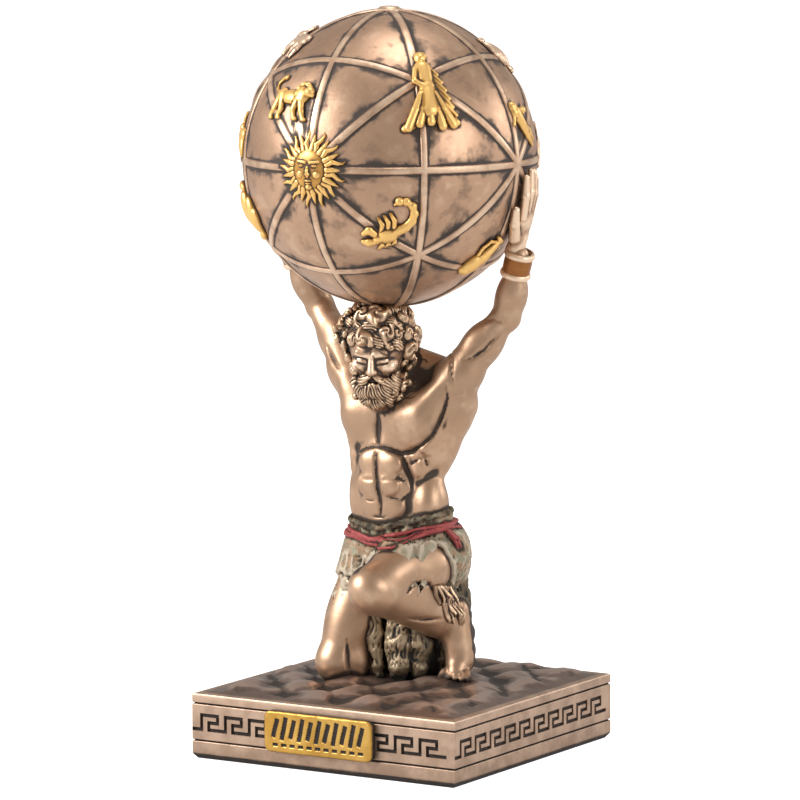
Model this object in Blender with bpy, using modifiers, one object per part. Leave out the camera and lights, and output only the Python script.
# A souvenir statue: a kneeling bearded man carries a ribbed globe with zodiac reliefs, on a square
# plinth with a rocky top, a Greek key round its sides and a small plaque.
# X is to the right of the front view, Y goes back, Z is up. The origin is under the plinth's middle.

import math

import bmesh
import bpy
import numpy as np
from mathutils import Matrix, Vector

for old in list(bpy.data.objects):
    bpy.data.objects.remove(old)

# Driving dimensions, in metres
plinthSide = 0.037
plinthHeight = 0.008
plinthEdge = 0.00025
footEdge = 0.0005
lineWidth = 0.00024
lineDepth = 0.00025
lowerLine = 0.00226
upperLine = 0.00679
borderWidth = 0.0011
rockRise = 0.0016
rockCells = 13

keyUnits = 10
keyBottom = 0.00365
keyTop = 0.00541
keyWidth = 0.00044
keyDepth = 0.0003
keyDraft = 0.00003
keyInner = 0.3  # where a turn's two inner uprights stand, as shares of the turn
keyOuter = 0.67

plateWidth = 0.0152
plateHeight = 0.005
plateThickness = 0.0007
plateCorner = 0.0009
plateRim = 0.00025
plateMiddle = 0.0046

crownHeight = 0.047
globeRadius = 0.0177
ribWidth = 0.00085
ribRise = 0.00022
ribWall = 0.00012
lumpHeight = 0.001
lumpSink = 0.0002
flameHeight = 0.0019
flameSink = 0.00144
sunHeight = 0.00096
sunStand = 0.00018
poleRadius = 0.0016
poleTopRadius = 0.0013
poleRise = 0.0003
gap = 0.0003

voxel = 0.00036
figureFaces = 2800

# The figure is laid out in parts, forty-seven from the top of the plinth to the crown.
part = crownHeight / 47
seat = 0.5 * part  # the globe is set down this far into the hair
globeCentre = Vector((-0.6 * part, -1.6 * part, plinthHeight + crownHeight + globeRadius - seat))


# Forms: a figure is a list of limbs and masses, melted together

formMargin = 0.9  # how far round a form its pull is worked out, in parts


def unitVector(vector):
    vector = np.asarray(vector, float)
    return vector / np.linalg.norm(vector)


def axesFor(along, facing=(0, -1, 0)):
    """Columns of a turn whose z runs along, and whose y looks away from facing."""
    z = unitVector(along)
    y = -np.asarray(facing, float)
    y = unitVector(y - z * (y @ z))
    return np.stack([np.cross(y, z), y, z], 1)


def limb(a, b, ra, rb, blend=0.6):
    a = np.asarray(a, float)
    b = np.asarray(b, float)
    low = np.minimum(a - ra, b - rb)
    high = np.maximum(a + ra, b + rb)
    return {"kind": "limb", "a": a, "b": b, "ra": ra, "rb": rb, "blend": blend, "low": low, "high": high}


def mass(centre, radii, along=(0, 0, 1), facing=(0, -1, 0), blend=0.6):
    centre = np.asarray(centre, float)
    radii = np.asarray(radii, float)
    turn = axesFor(along, facing)
    half = np.sqrt((turn**2) @ (radii**2))
    return {
        "kind": "mass",
        "centre": centre,
        "radii": radii,
        "turn": turn,
        "blend": blend,
        "low": centre - half,
        "high": centre + half,
    }


def chain(points, radii, blend=0.4):
    return [
        limb(a, b, ra, rb, blend) for a, b, ra, rb in zip(points[:-1], points[1:], radii[:-1], radii[1:])
    ]


def distanceTo(form, points):
    if form["kind"] == "limb":
        run = form["b"] - form["a"]
        share = np.clip(((points - form["a"]) @ run) / (run @ run), 0, 1)
        near = form["a"] + share[:, None] * run
        return np.linalg.norm(points - near, axis=1) - (form["ra"] + (form["rb"] - form["ra"]) * share)
    local = (points - form["centre"]) @ form["turn"]
    k0 = np.linalg.norm(local / form["radii"], axis=1)
    k1 = np.linalg.norm(local / form["radii"] ** 2, axis=1) + 1e-9
    return k0 * (k0 - 1) / k1


def smoothMin(a, b, blend):
    bridge = np.clip(blend - np.abs(a - b), 0, None) / blend
    return np.minimum(a, b) - bridge * bridge * blend * 0.25


def fieldOf(forms, points, far=3.0):
    """Distance to the melted forms, below zero inside."""
    field = np.full(len(points), far)
    for form in forms:
        pad = form["blend"] + formMargin
        near = np.all((points > form["low"] - pad) & (points < form["high"] + pad), axis=1)
        if near.any():
            field[near] = smoothMin(field[near], distanceTo(form, points[near]), form["blend"])
    return field


def pathDistance(path, points):
    best = np.full(len(points), 1e9)
    for a, b in zip(path[:-1], path[1:]):
        run = b - a
        share = np.clip(((points - a) @ run) / (run @ run), 0, 1)
        best = np.minimum(best, np.linalg.norm(points - a - share[:, None] * run, axis=1))
    return best


def grooveField(grooves, points):
    """How deep the cut lines are at each point."""
    cut = np.zeros(len(points))
    for path, depth, width in grooves:
        path = np.asarray(path, float)
        pad = width * 2.6
        near = np.all((points > path.min(0) - pad) & (points < path.max(0) + pad), axis=1)
        if near.any():
            share = pathDistance(path, points[near]) / width
            cut[near] = np.maximum(cut[near], depth * np.exp(-share * share))
    return cut


# The pose, in parts: x to the figure's left, y back, z up from the top of the plinth

globeAt = np.array([*globeCentre]) / part - np.array([0, 0, plinthHeight / part])
ribReach = (globeRadius + ribRise + gap) / part
axisLevels = (0, 17, 21, 25, 30, 37.5, 60)
axisX = (-0.4, -0.3, 0.0, -0.75, 0.0, -0.1, -0.1)
axisY = (0.2, 0.2, 0.0, -0.2, 0.2, 0.5, 0.5)
axisYaw = (0, 0, 2, 3, 5, 5, 5)


def torso(x, y, z):
    """A point beside the spine's line, which leans and turns a little with height."""
    yaw = math.radians(-np.interp(z, axisLevels, axisYaw))
    middle = np.array([np.interp(z, axisLevels, axisX), np.interp(z, axisLevels, axisY), z])
    across = x * math.cos(yaw) - y * math.sin(yaw)
    return middle + np.array([across, x * math.sin(yaw) + y * math.cos(yaw), 0])


headAt = np.array([-0.6, -4.2, 41.4])
headYaw = math.radians(17)
headBow = math.radians(20)
faceWay = np.array(
    [math.sin(headYaw) * math.cos(headBow), -math.cos(headYaw) * math.cos(headBow), -math.sin(headBow)]
)
headLeft = unitVector([math.cos(headYaw), math.sin(headYaw), 0])
headUp = np.cross(headLeft, -faceWay)


def head(x, y, z):
    """A point in the head's own frame: x to its left, y back, z to the crown."""
    return headAt + x * headLeft - y * faceWay + z * headUp


def shoulderOf(side):
    return torso(side * 7.6, 0.0, 37.6 + 0.4 * side)


def palmOf(side):
    """The palm lies on the globe's side, low and a little behind its middle."""
    way = unitVector([side * 17.0, 2.8, -7.5])
    return globeAt + way * (ribReach + 0.75), way


def elbowOf(side):
    shoulder = shoulderOf(side)
    palm, way = palmOf(side)
    reach = palm - shoulder
    behind = 2.3 if side > 0 else 3.4
    return shoulder + reach * np.array([0.66 if side > 0 else 0.7, 0, 0.4]) + np.array([0, behind, 0])


hipLeft = np.array([3.5, 1.6, 16.2])
kneeLeft = np.array([1.8, -9.8, 13.1])
ankleLeft = np.array([6.1, 3.4, 6.2])
hipRight = np.array([-4.1, 0.8, 16.0])
kneeRight = np.array([-6.4, -4.7, 2.9])
ankleRight = np.array([-5.4, 8.4, 3.0])


def torsoForms():
    forms = [
        mass(torso(0, 0.3, 16.8), (5.9, 4.2, 4.2), blend=0.8),
        mass(torso(0, -0.3, 20.4), (5.6, 3.8, 3.6), blend=1.0),
        mass(torso(0, 0.0, 25.0), (5.8, 3.8, 4.8), blend=1.5),
        mass(torso(0, 0.2, 30.4), (7.1, 4.4, 6.0), blend=1.5),
        mass(torso(0, 0.4, 34.8), (7.3, 3.8, 3.4), blend=1.5),
        mass(torso(0, -0.7, 35.2), (5.8, 3.3, 3.4), blend=1.5),
        mass(torso(0, -2.2, 25.0), (3.4, 2.2, 5.6), blend=1.5),
    ]
    for side in (-1, 1):
        arm = unitVector(elbowOf(side) - shoulderOf(side))
        forms += [
            limb(torso(side * 7.4, 1.2, 34.4), torso(side * 5.2, 1.0, 27.2), 2.2, 1.1, 1.5),
            limb(torso(side * 6.6, 0.8, 33.0), shoulderOf(side) + arm * 3.2, 2.1, 1.7, 1.5),
            mass(torso(side * 3.3, -2.6, 32.6), (3.6, 2.1, 3.2), (side * 0.35, 0, 1), blend=0.9),
            limb(torso(side * 4.8, -2.5, 33.6), torso(side * 7.4, -1.0, 37.2), 2.0, 1.8, 1.2),
            mass(torso(side * 4.75 + 0.35, -0.7, 22.4), (1.85, 2.5, 3.2), blend=1.5),
            limb(torso(side * 1.4, 0.6, 39.2), torso(side * 6.4, 0.9, 38.2), 2.0, 1.8, 1.5),
            mass(torso(side * 3.9, 3.1, 33.6), (3.1, 1.7, 3.8), (-side * 0.3, 0, 1), blend=0.9),
            limb(torso(side * 1.6, 3.3, 20.0), torso(side * 1.8, 3.5, 30.0), 1.6, 1.5, 0.8),
            mass(torso(side * 3.0, 3.0, 15.2), (3.3, 3.2, 3.6), blend=0.6),
        ]
        for z, y, width in ((27.5, -4.05, 1.5), (24.9, -3.95, 1.5), (22.3, -3.6, 1.45)):
            forms.append(mass(torso(side * 1.55, y, z), (width, 0.6, 1.3), blend=0.5))
        for step in range(3):
            low = torso(side * (5.2 - 0.3 * step), -2.9 + 0.3 * step, 29.6 - 1.5 * step)
            high = torso(side * (6.3 - 0.45 * step), -0.9, 31.2 - 1.5 * step)
            forms.append(limb(low, high, 0.6, 0.7, 0.7))
    forms.append(limb(torso(0, 0.5, 37.0), head(0, 1.6, -1.6), 2.9, 2.7, 1.0))
    return forms


def torsoGrooves():
    grooves = [
        ([torso(0, -5.4, 34.0), torso(0, -5.3, 29.6), torso(0, -4.6, 21.6)], 0.45, 0.42),
        ([torso(0, 5.0, 20.0), torso(0, 5.2, 30.0), torso(0, 4.6, 37.0)], 0.6, 0.7),
    ]
    for side in (-1, 1):
        grooves.append(
            (
                [
                    torso(0, -5.0, 29.4),
                    torso(side * 2.6, -5.2, 28.9),
                    torso(side * 5.4, -3.9, 29.6),
                    torso(side * 7.2, -2.2, 32.4),
                ],
                0.42,
                0.4,
            )
        )
        grooves.append(
            (
                [
                    torso(side * 1.2, -5.0, 28.9),
                    torso(side * 3.1, -4.5, 27.0),
                    torso(side * 4.4, -3.6, 24.2),
                ],
                0.4,
                0.4,
            )
        )
        for z in (26.2, 23.7):
            grooves.append(([torso(0, -4.7, z), torso(side * 2.9, -4.1, z + 0.1)], 0.28, 0.3))
        grooves.append(([torso(side * 3.1, -4.2, 25.6), torso(side * 2.7, -3.9, 21.0)], 0.3, 0.4))
    return grooves


def armForms(side):
    shoulder = shoulderOf(side)
    elbow = elbowOf(side)
    palm, way = palmOf(side)
    upward = unitVector(np.array([0, 0, 1.0]) - way * way[2])
    wrist = palm - upward * 3.6 + way * 1.0
    arm = unitVector(elbow - shoulder)
    middle = (shoulder + elbow) / 2
    inward = unitVector(np.array([-side * 0.8, -0.25, 0.75]))
    inward = unitVector(inward - arm * (inward @ arm))
    forearm = wrist - elbow
    forms = [
        mass(shoulder + arm * 0.9 - inward * 0.5, (2.5, 2.6, 3.5), arm, blend=0.9),
        limb(shoulder, elbow, 2.2, 1.65, 0.8),
        mass(middle + inward * 0.75 + arm * 0.3, (1.6, 1.7, 3.1), arm, blend=0.5),
        mass(middle - inward * 0.75, (1.7, 1.75, 3.6), arm, blend=0.5),
        mass(elbow - inward * 0.3, (1.45, 1.5, 1.6), blend=0.5),
        limb(elbow, wrist, 1.65, 1.12, 0.6),
        mass(elbow + forearm * 0.34 + way * 0.25, (1.85, 1.8, 3.2), forearm, blend=0.7),
    ]
    cuffLow = elbow + forearm * 0.70
    cuffHigh = elbow + forearm * 1.02
    forms += [
        limb(cuffLow, cuffHigh, 1.8, 1.8, 0.15),
        mass(cuffLow, (2.1, 2.1, 0.5), forearm, blend=0.15),
        mass(cuffHigh, (2.1, 2.1, 0.5), forearm, blend=0.15),
    ]
    return forms + handForms(side)


def handForms(side):
    """A flat hand on the globe: each finger is a chain that bends with the sphere."""
    palm, way = palmOf(side)
    upward = unitVector(np.array([0, 0, 1.0]) - way * way[2])
    front = np.cross(upward, way) * (1 if side > 0 else -1)
    front = front if front[1] < 0 else -front

    def onGlobe(across, along, lift):
        turned = way + (front * across + upward * along) / ribReach
        return globeAt + unitVector(turned) * (ribReach + lift)

    forms = [
        mass(onGlobe(0, -0.3, 0.72), (1.7, 0.85, 2.3), upward, way, 0.4),
        limb(onGlobe(0, -3.2, 1.25), onGlobe(0, -1.4, 0.95), 1.15, 1.0, 0.5),
    ]
    for number, reach in enumerate((5.9, 6.6, 6.5, 5.6)):
        across = 1.35 - 0.9 * number
        spread = 1.0 + 0.14 * (1.5 - number)
        stops = [onGlobe(across * 0.8, 1.0, 0.72), onGlobe(across * spread, (reach + 1.4) / 2, 0.62)]
        stops.append(onGlobe(across * spread * 1.12, reach, 0.42))
        forms += chain(stops, (0.52, 0.5, 0.4), 0.15)
    thumb = [onGlobe(1.1, -1.6, 0.8), onGlobe(2.5, 0.2, 0.7), onGlobe(3.0, 1.9, 0.5)]
    return forms + chain(thumb, (0.75, 0.6, 0.45), 0.25)


def legForms():
    shinWay = unitVector(ankleLeft - kneeLeft)
    toeWay = unitVector([0.42, -0.9, 0])
    toeSide = np.array([-toeWay[1], toeWay[0], 0])
    thighTop = hipLeft * 0.45 + kneeLeft * 0.55 + np.array([0.3, 0, 0.9])
    calf = kneeLeft * 0.6 + ankleLeft * 0.4 + np.array([0.6, 0.5, 0.9])
    heel = ankleLeft + np.array([-0.8, 2.0, -2.4])
    ball = ankleLeft + toeWay * 4.4 + np.array([0, 0, -4.3])
    thighRight = hipRight * 0.45 + kneeRight * 0.55 + np.array([0, -0.7, 0])
    calfRight = kneeRight * 0.58 + ankleRight * 0.42 + np.array([0, 0, 0.9])
    forms = [
        limb(hipLeft, kneeLeft, 4.0, 2.7, 1.2),
        mass(thighTop, (3.2, 3.0, 5.0), kneeLeft - hipLeft, (0, 0, 1), 1.2),
        mass((4.6, -1.8, 14.4), (2.7, 3.6, 2.9), blend=1.2),
        mass(kneeLeft, (2.5, 2.7, 2.9), shinWay, blend=1.2),
        limb(kneeLeft + shinWay * 1.5, ankleLeft, 2.65, 1.75, 1.2),
        mass(calf, (2.4, 2.4, 4.6), shinWay, blend=1.2),
        mass((5.3, -0.6, 9.6), (2.3, 2.7, 2.8), blend=1.2),
        limb((6.8, 1.0, 9.2), (7.6, 1.0, 3.5), 1.95, 1.8, 1.0),
        limb(ankleLeft, heel, 1.4, 1.45, 0.6),
        limb(heel + np.array([0.1, -0.4, -0.2]), ball, 1.4, 1.2, 0.9),
        limb(ankleLeft, ankleLeft + toeWay * 4.2 + np.array([0, 0, -3.8]), 1.35, 1.3, 0.8),
        limb(hipRight, kneeRight, 3.8, 2.6, 1.0),
        mass(thighRight, (3.1, 2.8, 5.2), hipRight - kneeRight, blend=0.9),
        mass(kneeRight, (2.6, 2.7, 2.7), blend=0.7),
        mass(kneeRight + np.array([2.0, 1.2, 0.3]), (1.5, 1.8, 3.0), blend=0.4),
        limb(kneeRight + np.array([0, 1.5, -0.2]), ankleRight, 2.3, 1.3, 0.8),
        mass(calfRight, (2.3, 4.4, 2.3), (0, 0, 1), blend=0.9),
        limb(ankleRight, ankleRight + np.array([0, 2.2, 1.6]), 1.45, 1.3, 0.5),
        limb(ankleRight + np.array([0, 1.4, 0.6]), ankleRight + np.array([0, 3.4, -1.9]), 1.4, 1.15, 0.6),
    ]
    for number in range(5):
        across = toeSide * (1.5 - 0.78 * number)
        reach = 5.0 - 0.42 * number - (0 if number else 0.2)
        start = ankleLeft + across * 0.75 + toeWay * 4.0 + np.array([0, 0, -4.0])
        tip = ankleLeft + across + toeWay * (reach + 1.0) + np.array([0, 0, -4.6])
        big = number == 4
        forms.append(limb(start, tip, 0.75 if big else 0.6, 0.7 if big else 0.5, 0.12))
        under = ankleRight + np.array([1.4 - 0.7 * number, 3.4, -1.6])
        forms.append(limb(under, under + np.array([0.1 - 0.05 * number, -1.0, -1.0]), 0.6, 0.5, 0.2))
    return forms


def headForms():
    forms = [
        mass(head(0, 0.5, 1.0), (3.7, 4.3, 4.0), headUp, faceWay, 0.8),
        mass(head(0, -1.5, -1.2), (2.7, 2.4, 3.1), headUp, faceWay, 0.8),
        limb(head(-1.6, -3.3, 1.15), head(1.6, -3.3, 1.15), 0.62, 0.62, 0.4),
        limb(head(0, -3.7, 0.8), head(0, -4.55, -1.0), 0.34, 0.5, 0.25),
    ]
    for side in (-1, 1):
        forms += [
            mass(head(side * 1.85, -2.7, -0.7), (1.0, 1.1, 0.9), headUp, faceWay, 0.4),
            mass(head(side * 1.3, -3.25, 0.2), (0.65, 0.5, 0.42), headUp, faceWay, 0.15),
            limb(head(side * 0.3, -4.1, -1.75), head(side * 2.1, -3.3, -2.6), 0.55, 0.4, 0.2),
            mass(head(side * 0.45, -4.3, -1.1), (0.35, 0.4, 0.3), headUp, faceWay, 0.15),
            mass(head(side * 3.55, 0.1, 0.0), (0.45, 0.8, 1.0), headUp, faceWay, 0.2),
        ]
    return forms


def curlCentres():
    """Spots for the locks: rings round the scalp, then rows over the beard."""
    spots = []
    for row, (height, count) in enumerate(((4.6, 6), (3.2, 11), (1.4, 13), (-0.6, 12), (-2.4, 9))):
        for step in range(count):
            turn = 2 * math.pi * (step + 0.5 * (row % 2)) / count
            flat = math.sqrt(max(0.05, 1 - ((height - 0.6) / 5.0) ** 2))
            x = 3.9 * flat * math.sin(turn)
            y = 0.8 + 4.6 * flat * math.cos(turn)
            hairline = 2.3 if abs(x) < 2.4 else -9.0
            if y < -1.2 and height < hairline:
                continue
            if y > 0 and height < -1.8:
                continue
            spots.append((head(x, y, height), 1.12))
    beardRows = ((-2.9, 3.0, -2.3, 6), (-4.1, 2.9, -3.3, 6), (-5.3, 2.3, -3.6, 5), (-6.4, 1.3, -3.7, 3))
    for z, halfWidth, y, count in beardRows:
        for step in range(count):
            share = 2 * step / (count - 1) - 1
            spots.append((head(share * halfWidth, y + 1.2 * share * share, z), 1.0))
    for side in (-1, 1):
        for step in range(3):
            spots.append((head(side * 3.3, -1.7 + 0.2 * step, 0.4 - 1.3 * step), 0.85))
    return spots


def hairForms():
    forms = [mass(head(0, -2.2, -4.2), (2.4, 1.5, 2.4), headUp, faceWay, 0.6)]
    forms.append(mass(head(0, -2.4, -5.4), (1.9, 1.4, 2.1), headUp, faceWay, 0.5))
    for centre, radius in curlCentres():
        forms.append(mass(centre, (radius, radius, radius), blend=0.2))
    return forms


def waistHeight(x, forward):
    """The roll's height: it sags in front and climbs to the left hip."""
    return 20.9 + 0.12 * x - 1.1 * np.clip(forward, 0, 1) ** 2


def clothShell(points):
    """The loincloth follows the hips a little way off them, down to its slanting hem."""
    wrap = [
        mass(torso(0, 0.3, 17.6), (6.2, 4.6, 4.6), blend=1.5),
        mass(torso(0, -0.2, 20.0), (5.9, 4.2, 3.2), blend=1.0),
        mass((3.0, 3.2, 15.0), (3.8, 3.5, 4.3), blend=1.2),
        mass((-3.4, 3.2, 14.8), (3.6, 3.4, 4.4), blend=1.2),
        limb(hipLeft, hipLeft * 0.5 + kneeLeft * 0.5, 4.5, 4.0, 1.2),
        limb(hipRight, hipRight * 0.55 + kneeRight * 0.45, 4.2, 3.8, 1.2),
        mass((5.0, 1.6, 15.2), (2.2, 2.8, 3.8), blend=1.2),
        mass((0, 4.2, 14.4), (3.4, 2.0, 4.0), blend=1.5),
    ]
    shell = np.minimum(fieldOf(wrap, points), fieldOf(hipForms, points) - 0.4)
    turn = np.arctan2(points[:, 0] + 0.4, -points[:, 1])
    shell -= 0.14 * np.sin(turn * 13 + points[:, 2] * 0.55)
    height = points[:, 2]
    rightRun = kneeRight - hipRight
    rightShare = ((points - hipRight) @ rightRun) / (rightRun @ rightRun)
    overThigh = (rightShare - 0.3) * 12
    besideThigh = np.interp(height, hemLevels, hemBack) - points[:, 1]
    behind = 9.2 + 0.4 * np.sin(turn * 4) - height
    hem = np.where(points[:, 0] < 0.4, overThigh, 18.2 - height)
    hem = np.where(points[:, 0] > 4.4, besideThigh, hem)
    hem = np.where(points[:, 1] > 1.5, behind, hem)
    top = height - waistHeight(points[:, 0], np.cos(turn))
    return np.maximum(shell, np.maximum(hem, top))


hemLevels = (11.6, 12.2, 14.6, 16.8, 18.7)
hemBack = (1.5, -0.6, -0.6, -1.5, -2.6)
hipForms = torsoForms() + legForms()


def waistRing(drop, off, count=26):
    """A ring round the waist, this far below the roll and off the skin."""
    ring = []
    reach = np.linspace(2, 9, 176)
    for step in range(count + 1):
        turn = 2 * math.pi * step / count
        way = np.array([math.sin(turn), -math.cos(turn), 0])
        height = waistHeight(6.2 * way[0], -way[1]) - drop
        middle = torso(0, 0.2, height)
        inside = fieldOf(hipForms, middle + reach[:, None] * way) < off
        ring.append(middle + way * reach[inside].max())
    return ring


def peltForms():
    """The furry flap that hangs between the legs, and the tufts over the back of the left calf."""
    lobes = [
        [(-2.6, -2.6, 9.6, 0.9), (-2.2, -2.9, 6.0, 1.0), (-1.5, -3.2, 2.4, 0.6), (-1.2, -3.2, 1.0, 0.3)],
        [(0.6, -1.6, 9.2, 1.4), (0.9, -2.2, 5.4, 1.7), (1.2, -2.8, 2.4, 1.3), (1.4, -3.0, 1.0, 0.5)],
        [(2.2, -0.4, 8.6, 1.4), (2.9, -1.0, 5.0, 1.6), (3.3, -1.4, 2.2, 1.1), (3.2, -1.6, 1.2, 0.6)],
        [(-2.4, 1.0, 9.6, 2.2), (-1.6, 1.2, 5.0, 2.3), (-1.2, 1.2, 1.4, 1.8)],
        [(1.6, 1.0, 9.6, 2.2), (2.2, 1.2, 5.0, 2.3), (2.6, 1.2, 1.4, 1.8)],
        [(4.4, 2.0, 8.0, 1.4), (4.6, 2.2, 5.0, 1.5), (4.8, 2.4, 1.4, 1.4)],
        [(6.2, -0.2, 12.6, 1.0), (6.6, 0.9, 10.6, 1.0), (7.0, 2.2, 8.4, 0.8)],
        [(5.4, 3.2, 12.4, 1.6), (6.0, 3.9, 8.4, 1.2)],
    ]
    forms = []
    for lobe in lobes:
        forms += chain([np.array(stop[:3]) for stop in lobe], [stop[3] for stop in lobe], 0.35)
    return forms


def clothForms():
    """The rolled waist, the sash with its knot and tails, and the pelt between the legs."""
    roll = waistRing(0, 0.35)
    sash = waistRing(1.7, 0.5)
    forms = chain(roll, [0.5] * len(roll), 0.2) + chain(sash, [0.65] * len(sash), 0.2)
    knot = np.array([6.5, -1.1, 20.0])
    forms.append(mass(knot, (0.65, 0.7, 0.6), blend=0.2))
    for back, drop in ((2.2, -3.0), (2.9, -4.3)):
        end = knot + np.array([0.9, back, drop])
        bow = (knot + end) / 2 + np.array([0.75, -0.2, 0])
        forms += chain([knot, bow, end], (0.45, 0.45, 0.4), 0.2)
    return forms + peltForms()


def rockHeight(x, y):
    """Rough ground, in parts of the plinth's width, zero at the border."""
    half = (plinthSide / 2 - borderWidth) / part
    u = x / half
    v = y / half
    rough = 0.42 + 0.2 * np.sin(2.1 * x / 3 + 1.3) * np.cos(1.7 * y / 3 - 0.4)
    rough = rough + 0.22 * np.abs(np.sin(0.9 * x / 2 + 0.8 * y / 2))
    rough = rough + 0.16 * np.cos(1.9 * x / 2 - 1.1 * y / 2)
    edge = np.clip((1 - np.abs(u)) * 6, 0, 1) * np.clip((1 - np.abs(v)) * 6, 0, 1)
    under = np.exp(-(((x - 7.6) / 4.5) ** 2) - ((y + 0.5) / 5) ** 2)
    return (rough + 0.35 * under) * edge * rockRise / part


def groundUnder(x, y):
    """The rock as the plinth's grid makes it: its height between the grid's corners."""
    half = (plinthSide / 2 - borderWidth) / part
    spots = np.linspace(-half, half, rockCells + 1)
    heights = rockHeight(spots[:, None], spots[None, :])
    u = np.clip((x + half) / (2 * half) * rockCells, 0, rockCells - 1e-6)
    v = np.clip((y + half) / (2 * half) * rockCells, 0, rockCells - 1e-6)
    i = u.astype(int)
    j = v.astype(int)
    u = u - i
    v = v - j
    low = heights[i, j] * (1 - u) + heights[i + 1, j] * u
    high = heights[i, j + 1] * (1 - u) + heights[i + 1, j + 1] * u
    return low * (1 - v) + high * v


def clearOfNeighbours(points):
    """Lifts stray points off the rock and out of the globe, by the gap."""
    fromGlobe = points - globeAt
    reach = np.linalg.norm(fromGlobe, axis=1)[:, None]
    points = np.where(reach < ribReach, globeAt + fromGlobe / reach * ribReach, points)
    ground = groundUnder(points[:, 0], points[:, 1]) + gap / part
    points[:, 2] = np.maximum(points[:, 2], ground)
    return points


def figureField(points):
    body = fieldOf(bodyForms, points) + grooveField(bodyGrooves, points)
    body = smoothMin(body, clothShell(points), 0.2)
    body = smoothMin(body, fieldOf(hairAndCloth, points), 0.2)
    fromGlobe = np.linalg.norm(points - globeAt, axis=1) - ribReach
    body = np.maximum(body, -fromGlobe)
    ground = groundUnder(points[:, 0], points[:, 1]) + gap / part
    return np.maximum(body, ground - points[:, 2])


bodyForms = torsoForms() + armForms(-1) + armForms(1) + legForms() + headForms()
bodyGrooves = torsoGrooves()
hairAndCloth = hairForms() + clothForms()


# Mesh helpers


def addBall(bm, centre, radii, turn, detail=2):
    made = bmesh.ops.create_icosphere(bm, subdivisions=detail, radius=1)
    turned = Matrix(turn.tolist()).to_4x4()
    ball = Matrix.Translation(Vector(centre)) @ turned @ Matrix.Diagonal((*radii, 1))
    bmesh.ops.transform(bm, matrix=ball, verts=made["verts"])


def addHull(bm, form):
    """A limb starts as the hull of its two end balls."""
    one = bmesh.new()
    addBall(one, form["a"], (form["ra"],) * 3, np.eye(3))
    addBall(one, form["b"], (form["rb"],) * 3, np.eye(3))
    bmesh.ops.convex_hull(one, input=one.verts)
    bmesh.ops.delete(one, geom=[vert for vert in one.verts if not vert.link_faces], context="VERTS")
    mesh = bpy.data.meshes.new("hull")
    one.to_mesh(mesh)
    one.free()
    bm.from_mesh(mesh)
    bpy.data.meshes.remove(mesh)


def seedMesh(forms):
    bm = bmesh.new()
    for form in forms:
        if form["kind"] == "mass":
            addBall(bm, form["centre"], form["radii"], form["turn"], 3)
        else:
            addHull(bm, form)
    mesh = bpy.data.meshes.new("seed")
    bm.to_mesh(mesh)
    bm.free()
    return mesh


def readPoints(mesh):
    flat = np.empty(len(mesh.vertices) * 3, np.float32)
    mesh.vertices.foreach_get("co", flat)
    return flat.reshape(-1, 3).astype(float)


def writePoints(mesh, points):
    mesh.vertices.foreach_set("co", points.astype(np.float32).ravel())
    mesh.update()


def neighbourMean(points, edges):
    ends = np.concatenate([edges[:, 0], edges[:, 1]])
    others = np.concatenate([edges[:, 1], edges[:, 0]])
    count = np.maximum(np.bincount(ends, minlength=len(points)), 1)
    sums = [np.bincount(ends, weights=points[others, k], minlength=len(points)) for k in range(3)]
    return np.stack(sums, 1) / count[:, None]


def slopeOf(field, points, step=0.03):
    slope = np.empty_like(points)
    for k in range(3):
        shift = np.zeros(3)
        shift[k] = step
        slope[:, k] = (field(points + shift) - field(points - shift)) / (2 * step)
    return slope


def settle(mesh, field, rounds=6, relax=0.4, mostStep=0.25):
    """Moves the points onto the melted surface, keeping them evenly spread."""
    points = readPoints(mesh)
    flat = np.empty(len(mesh.edges) * 2, np.int32)
    mesh.edges.foreach_get("vertices", flat)
    edges = flat.reshape(-1, 2)
    for number in range(rounds):
        slope = slopeOf(field, points)
        steep = np.maximum((slope**2).sum(1), 0.15)
        points = points - np.clip(field(points) / steep, -mostStep, mostStep)[:, None] * slope
        if number < rounds - 2:
            normal = slope / np.maximum(np.linalg.norm(slope, axis=1), 1e-6)[:, None]
            pull = neighbourMean(points, edges) - points
            pull -= normal * (pull * normal).sum(1)[:, None]
            points = points + relax * pull
    writePoints(mesh, points)


def applied(name, mesh, setUp):
    """The mesh after one modifier, which setUp adds to a passing object."""
    helper = bpy.data.objects.new(name, mesh)
    bpy.context.scene.collection.objects.link(helper)
    setUp(helper)
    graph = bpy.context.evaluated_depsgraph_get()
    made = bpy.data.meshes.new_from_object(helper.evaluated_get(graph))
    bpy.data.objects.remove(helper)
    return made


def addRemesh(helper):
    remesh = helper.modifiers.new("Remesh", "REMESH")
    remesh.mode = "VOXEL"
    remesh.voxel_size = voxel / part
    remesh.adaptivity = 0


def material(name, colour, roughness, metallic):
    made = bpy.data.materials.new(name)
    made.use_nodes = True
    made.diffuse_color = (*colour, 1)
    shader = made.node_tree.nodes["Principled BSDF"]
    shader.inputs["Base Color"].default_value = (*colour, 1)
    shader.inputs["Roughness"].default_value = roughness
    shader.inputs["Metallic"].default_value = metallic
    return made


def place(name, mesh, finish):
    made = bpy.data.objects.new(name, mesh)
    mesh.name = name
    mesh.materials.clear()
    mesh.materials.append(finish)
    statue.objects.link(made)
    return made


# Pieces


def largestIsland(bm):
    """Deletes all but the biggest body, such as a speck left between two curls."""
    left = set(bm.verts)
    best = set()
    while left:
        grown = {left.pop()}
        edge = list(grown)
        while edge:
            near = {e.other_vert(v) for v in edge for e in v.link_edges} & left
            left -= near
            grown |= near
            edge = list(near)
        best = max(best, grown, key=len)
    bmesh.ops.delete(bm, geom=[v for v in bm.verts if v not in best], context="VERTS")


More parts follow.
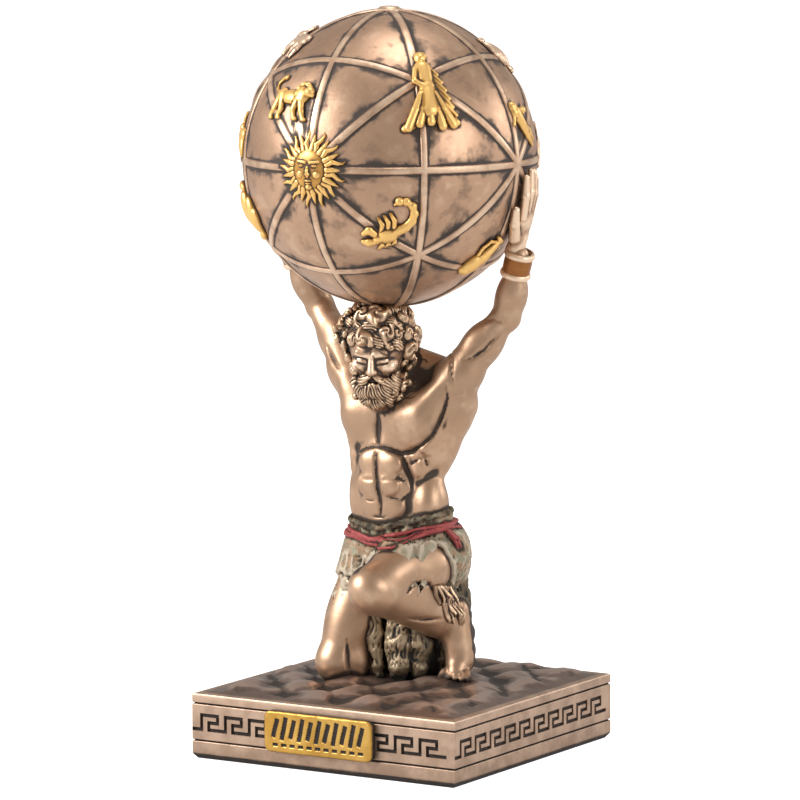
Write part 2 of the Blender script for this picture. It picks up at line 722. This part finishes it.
def buildFigure():
    seeds = bodyForms + hairAndCloth
    wrap = [mass(torso(0, 0.3, 17.0), (6.3, 4.6, 3.8)), mass((3.2, 3.2, 13.6), (3.8, 3.5, 3.8))]
    mesh = applied("seed", seedMesh(seeds + wrap), addRemesh)
    settle(mesh, figureField)

    def addDecimate(helper):
        thin = helper.modifiers.new("Decimate", "DECIMATE")
        thin.ratio = figureFaces / (2 * len(mesh.polygons))

    mesh = applied("fine", mesh, addDecimate)
    writePoints(mesh, clearOfNeighbours(readPoints(mesh)))
    bm = bmesh.new()
    bm.from_mesh(mesh)
    largestIsland(bm)
    bmesh.ops.triangulate(bm, faces=bm.faces)
    bmesh.ops.scale(bm, vec=(part, part, part), verts=bm.verts)
    bmesh.ops.translate(bm, vec=(0, 0, plinthHeight), verts=bm.verts)
    bm.to_mesh(mesh)
    bm.free()
    mesh.shade_smooth()
    return place("figure", mesh, material("figure_bronze", (0.36, 0.22, 0.14), 0.4, 0.7))


def buildGlobe():
    """A ribbed sphere: nine great circles part it into forty-eight sunk panels."""
    bm = bmesh.new()
    bmesh.ops.create_cube(bm, size=2)
    bmesh.ops.subdivide_edges(bm, edges=bm.edges, cuts=1)
    bmesh.ops.poke(bm, faces=bm.faces)
    for vert in bm.verts:
        vert.co = vert.co.normalized() * globeRadius
    panels = bm.faces.layers.int.new("panel")
    for number, face in enumerate(bm.faces, 1):
        face[panels] = number
    panelCount = len(bm.faces)
    bmesh.ops.subdivide_edges(bm, edges=bm.edges, cuts=2, use_grid_fill=True)
    bmesh.ops.triangulate(bm, faces=bm.faces)
    for vert in bm.verts:
        vert.co = vert.co.normalized() * (globeRadius + ribRise)
    for number in range(1, panelCount + 1):
        panel = [face for face in bm.faces if face[panels] == number]
        bmesh.ops.inset_region(bm, faces=panel, thickness=ribWidth / 2, use_even_offset=True)
        panel = [face for face in panel if face.is_valid]
        rim = bmesh.ops.inset_region(bm, faces=panel, thickness=ribWall, use_even_offset=True)["faces"]
        for face in rim:
            face[panels] = 0
        for vert in {vert for face in panel for vert in face.verts}:
            vert.co = vert.co.normalized() * globeRadius
        ring = {face for face in bm.faces if face[panels] == number} - set(panel)
        for face in ring:
            face[panels] = 0
    pole = bmesh.ops.create_cone(
        bm,
        cap_ends=True,
        segments=14,
        radius1=poleRadius,
        radius2=poleTopRadius,
        depth=2 * poleRise,
    )
    bmesh.ops.translate(bm, vec=(0, 0, globeRadius + ribRise), verts=pole["verts"])
    body = bpy.data.meshes.new("globe")
    bm.to_mesh(body)
    bm.free()
    reliefs = bpy.data.meshes.new("reliefs")
    reliefMesh().to_mesh(reliefs)
    cutter = bpy.data.objects.new("globe_reliefs", reliefs)
    cutters.objects.link(cutter)
    cutter.location = globeCentre
    cutter.hide_render = True
    cutter.display_type = "WIRE"
    body.shade_smooth()
    body.set_sharp_from_angle(angle=math.radians(25))
    globe = place("globe", body, material("globe_bronze", (0.40, 0.27, 0.20), 0.38, 0.75))
    globe.location = globeCentre
    own = globe.modifiers.new("Pole", "BOOLEAN")
    own.operation = "UNION"
    own.use_self = True
    own.object = cutter
    return globe


def tangentFrame(way):
    """Turns +Z to way, with local y towards the top of the globe."""
    z = Vector(way).normalized()
    x = Vector((0, 0, 1)).cross(z).normalized()
    turn = Matrix((x, z.cross(x), z)).transposed()
    return turn.to_4x4()


def sphereDrop(x, y):
    """How far the globe falls away from a flat plane on it."""
    return globeRadius - math.sqrt(globeRadius**2 - x**2 - y**2)


lumpSpread = 1.25 * part  # a five-sided lump is this much wider than its oval


def addBlob(bm, way, centre, size, turn=0.0):
    """A low oval lump of a relief."""
    made = bmesh.ops.create_uvsphere(bm, u_segments=5, v_segments=3, radius=1)
    scale = Matrix.Diagonal((lumpSpread * size[0], lumpSpread * size[1], lumpHeight, 1))
    inPlane = Matrix.Translation((centre[0], centre[1], 0)) @ Matrix.Rotation(turn, 4, "Z")
    stand = Matrix.Translation((0, 0, globeRadius - lumpSink - sphereDrop(*centre)))
    bmesh.ops.transform(bm, matrix=tangentFrame(way) @ stand @ inPlane @ scale, verts=made["verts"])


sunFlames = 14
flameReach = 4.9 * part
flameRoot = 3.0 * part
sunHalfWidth = 2.35 * part
sunHalfHeight = 2.75 * part


def addSun(bm, way):
    """Flames round a face, as one star with a dome on it."""
    star = bmesh.new()
    made = bmesh.ops.create_circle(star, cap_ends=True, segments=2 * sunFlames, radius=1)["verts"]
    for number, vert in enumerate(made):
        vert.co = vert.co.normalized() * (flameReach if number % 2 else flameRoot)
    top = bmesh.ops.extrude_face_region(star, geom=star.faces[:])["geom"]
    lifted = [item for item in top if isinstance(item, bmesh.types.BMVert)]
    bmesh.ops.translate(star, vec=(0, 0, flameHeight), verts=lifted)
    for vert in star.verts:
        vert.co.z += globeRadius - flameSink - sphereDrop(vert.co.x, vert.co.y)
    bmesh.ops.recalc_face_normals(star, faces=star.faces)
    bmesh.ops.transform(star, matrix=tangentFrame(way), verts=star.verts)
    mesh = bpy.data.meshes.new("sun")
    star.to_mesh(mesh)
    star.free()
    bm.from_mesh(mesh)
    bpy.data.meshes.remove(mesh)
    dome = bmesh.ops.create_uvsphere(bm, u_segments=10, v_segments=4, radius=1)
    scale = Matrix.Diagonal((sunHalfWidth, sunHalfHeight, sunHeight, 1))
    stand = Matrix.Translation((0, 0, globeRadius + sunStand))
    bmesh.ops.transform(bm, matrix=tangentFrame(way) @ stand @ scale, verts=dome["verts"])


# Each zodiac figure is a few lumps: centre, half sizes and turn in its own flat frame, in parts
lion = [((0, 0.2), (1.9, 0.85), 0), ((-2.0, 0.9), (1.1, 1.1), 0), ((-1.4, -1.2), (0.4, 1.0), 0.2)]
lion += [((1.4, -1.2), (0.4, 1.0), -0.2), ((2.3, 1.2), (0.3, 1.1), -0.4)]
maiden = [((0, -0.6), (1.0, 2.4), 0), ((0, 2.5), (0.75, 0.8), 0), ((-1.2, -2.4), (1.2, 0.9), 0.5)]
maiden += [((1.3, -2.2), (1.4, 0.8), -0.4), ((1.1, 0.8), (0.5, 1.5), 0.4)]
scorpion = [((0, -0.4), (1.3, 0.9), 0.2), ((1.9, 0.6), (1.1, 0.45), 0.9), ((2.4, 2.3), (0.4, 1.0), 0.1)]
scorpion += [((1.2, 3.1), (1.0, 0.35), 0.3), ((-2.0, -1.0), (1.1, 0.5), 0.3)]
scorpion += [((-1.6, -2.2), (0.9, 0.4), 0.4)]
jar = [((0, -0.6), (1.3, 1.6), 0.4), ((0.9, 1.5), (0.5, 0.9), 0.4)]
twins = [((-0.8, 0), (0.7, 2.0), 0.1), ((0.8, 0), (0.7, 2.0), -0.1), ((0, 0.4), (1.4, 0.4), 0)]
horned = [((0, 0), (2.0, 1.0), 0), ((-2.1, 0.7), (0.9, 0.8), 0)]
horned += [((-1.2, -1.4), (0.4, 0.9), 0), ((1.4, -1.4), (0.4, 0.9), 0)]
fishes = [((-0.2, 1.0), (1.9, 0.6), 0.2), ((0.2, -1.0), (1.9, 0.6), 0.2)]

# Where each stands on the globe: degrees round from the front towards +X, degrees up, and its size
reliefPlaces = [
    (lion, -15.5, 27, 1.2),
    (maiden, 48, 30, 1.4),
    (scorpion, 32, -23, 1.2),
    (jar, 83, -37, 1.5),
    (twins, 98, 14, 1.2),
    (horned, -56, 9, 1.2),
    (fishes, -52, -21, 1.3),
    (horned, -48, 53, 1.3),
    (fishes, 120, 44, 1.3),
    (lion, 136, 4, 1.2),
    (jar, -150, 32, 1.3),
    (twins, 180, -10, 1.2),
    (scorpion, -100, 24, 1.2),
]


def reliefMesh():
    bm = bmesh.new()
    for lumps, around, up, size in reliefPlaces:
        turn = math.radians(around)
        rise = math.radians(up)
        way = (math.sin(turn) * math.cos(rise), -math.cos(turn) * math.cos(rise), math.sin(rise))
        for centre, halves, angle in lumps:
            spot = (size * part * centre[0], size * part * centre[1])
            addBlob(bm, way, spot, (size * halves[0], size * halves[1]), angle)
    addSun(bm, (0, -1, 0))
    return bm


def cutBand(bm, faces, point, normal):
    """Cuts these faces along one plane and returns all that they became."""
    geometry = set(faces)
    for face in faces:
        geometry.update(face.edges)
        geometry.update(face.verts)
    out = bmesh.ops.bisect_plane(bm, geom=list(geometry), plane_co=point, plane_no=normal, dist=1e-9)
    return [item for item in out["geom"] if isinstance(item, bmesh.types.BMFace)]


def inKey(along, up):
    """Whether a spot of the band lies in the channel: one turn of the key is six short runs."""
    pitch = keyPitch
    height = keyTop - keyBottom
    half = keyWidth / 2
    along = (along + half) % pitch - half if along < keyLength - half else along - keyLength + pitch
    runs = [
        (0, 0, 0, 1),
        (0, 1, keyOuter, 1),
        (keyOuter, 0.5, keyOuter, 1),
        (keyInner, 0.5, keyOuter, 0.5),
        (keyInner, 0, keyInner, 0.5),
        (keyInner, 0, 1, 0),
    ]
    for u0, v0, u1, v1 in runs:
        if u0 * pitch - half < along < u1 * pitch + half and v0 * height - half < up < v1 * height + half:
            return True
    return False


keyLength = plinthSide - 2 * plinthEdge - 2 * borderWidth
keyPitch = keyLength / keyUnits


def buildPlinth():
    bm = bmesh.new()
    half = plinthSide / 2
    bmesh.ops.create_grid(bm, x_segments=1, y_segments=1, size=half - footEdge)
    levels = [(footEdge, 0.0)]
    for line in (lowerLine, upperLine):
        levels += [
            (line - lineWidth / 2, 0.0),
            (line, lineDepth),
            (line + lineWidth / 2, 0.0),
        ]
    levels += [(plinthHeight - plinthEdge, 0.0), (plinthHeight, plinthEdge)]
    ring = bm.faces[:]
    inset = footEdge
    height = 0.0
    for newHeight, newInset in levels:
        below = ring
        made = bmesh.ops.extrude_face_region(bm, geom=below)["geom"]
        ring = [item for item in made if isinstance(item, bmesh.types.BMFace)]
        if height:
            bmesh.ops.delete(bm, geom=below, context="FACES_ONLY")
        verts = list({vert for face in ring for vert in face.verts})
        scale = (half - newInset) / (half - inset)
        bmesh.ops.translate(bm, vec=(0, 0, newHeight - height), verts=verts)
        bmesh.ops.scale(bm, vec=(scale, scale, 1), verts=verts)
        inset, height = newInset, newHeight
    bmesh.ops.recalc_face_normals(bm, faces=bm.faces)
    top = max(bm.faces, key=lambda face: face.calc_center_median().z)
    bmesh.ops.inset_region(bm, faces=[top], thickness=borderWidth - plinthEdge, use_even_offset=True)
    cutKeys(bm)
    top = max(bm.faces, key=lambda face: (round(face.calc_center_median().z, 6), face.calc_area()))
    bmesh.ops.subdivide_edges(bm, edges=top.edges, cuts=rockCells - 1, use_grid_fill=True)
    inner = half - borderWidth - 1e-5
    for vert in bm.verts:
        if abs(vert.co.z - plinthHeight) < 1e-6 and max(abs(vert.co.x), abs(vert.co.y)) < inner:
            vert.co.z += part * float(rockHeight(vert.co.x / part, vert.co.y / part))
    bmesh.ops.recalc_face_normals(bm, faces=bm.faces)
    mesh = bpy.data.meshes.new("plinth")
    bm.to_mesh(mesh)
    bm.free()
    return place("plinth", mesh, material("plinth_bronze", (0.33, 0.22, 0.17), 0.45, 0.6))


def cutKeys(bm):
    """Sinks the Greek key into the middle band of each side."""
    half = plinthSide / 2
    edges = sorted({round(spot + side * keyWidth / 2, 7) for spot in keyColumns() for side in (-1, 1)})
    rows = [keyBottom + share * (keyTop - keyBottom) for share in (0, 0.5, 1)]
    for quarter in range(4):
        turn = Matrix.Rotation(quarter * math.pi / 2, 3, "Z")
        outward = turn @ Vector((0, -1, 0))
        across = turn @ Vector((1, 0, 0))
        band = [
            face
            for face in bm.faces
            if face.normal.dot(outward) > 0.99 and lowerLine < face.calc_center_median().z < upperLine
        ]
        band = [face for face in band if face.calc_area() > plinthSide * (keyTop - keyBottom)]
        for row in rows:
            for side in (-1, 1):
                band = cutBand(bm, band, (0, 0, row + side * keyWidth / 2), (0, 0, 1))
        for edge in edges:
            band = cutBand(bm, band, across * (edge - keyLength / 2), across)
        channel = []
        for face in band:
            middle = face.calc_center_median()
            if inKey(middle.dot(across) + keyLength / 2, middle.z - keyBottom):
                channel.append(face)
        bmesh.ops.inset_region(
            bm, faces=channel, thickness=keyDraft, depth=-keyDepth, use_even_offset=True
        )
    # Only the sides are simplified: the top's border lies flush with its middle and stays a face
    sides = [vert for vert in bm.verts if vert.co.z < upperLine]
    between = [edge for edge in bm.edges if all(vert.co.z < upperLine for vert in edge.verts)]
    bmesh.ops.dissolve_limit(bm, angle_limit=0.001, verts=sides, edges=between)


def keyColumns():
    spots = []
    for unit in range(keyUnits):
        spots += [(unit + share) * keyPitch for share in (0, keyInner, keyOuter)]
    return spots + [keyUnits * keyPitch]


def buildPlate():
    """A plaque with rounded corners and soft rims, just proud of the plinth's front."""
    bm = bmesh.new()
    bmesh.ops.create_cube(bm, size=1)
    bmesh.ops.scale(bm, vec=(plateWidth, plateThickness, plateHeight), verts=bm.verts)
    half = plateThickness / 2
    upright = [edge for edge in bm.edges if abs(edge.verts[0].co.y - edge.verts[1].co.y) > half]
    bmesh.ops.bevel(
        bm, geom=upright, offset=plateCorner, segments=4, affect="EDGES", profile=0.5, material=-1
    )
    front = [edge for edge in bm.edges if all(vert.co.y < 0 for vert in edge.verts)]
    bmesh.ops.bevel(
        bm, geom=front, offset=plateRim, segments=2, affect="EDGES", profile=0.5, material=-1
    )
    middle = -plinthSide / 2 - gap - half
    bmesh.ops.translate(bm, vec=(0, middle, plateMiddle), verts=bm.verts)
    mesh = bpy.data.meshes.new("name_plate")
    bm.to_mesh(mesh)
    bm.free()
    return place("name_plate", mesh, material("plate_gold", (0.72, 0.48, 0.16), 0.35, 0.8))


statue = bpy.data.collections.new("atlas_statue")
cutters = bpy.data.collections.new("cutters")
bpy.context.scene.collection.children.link(statue)
bpy.context.scene.collection.children.link(cutters)
buildPlinth()
buildPlate()
buildGlobe()
buildFigure()
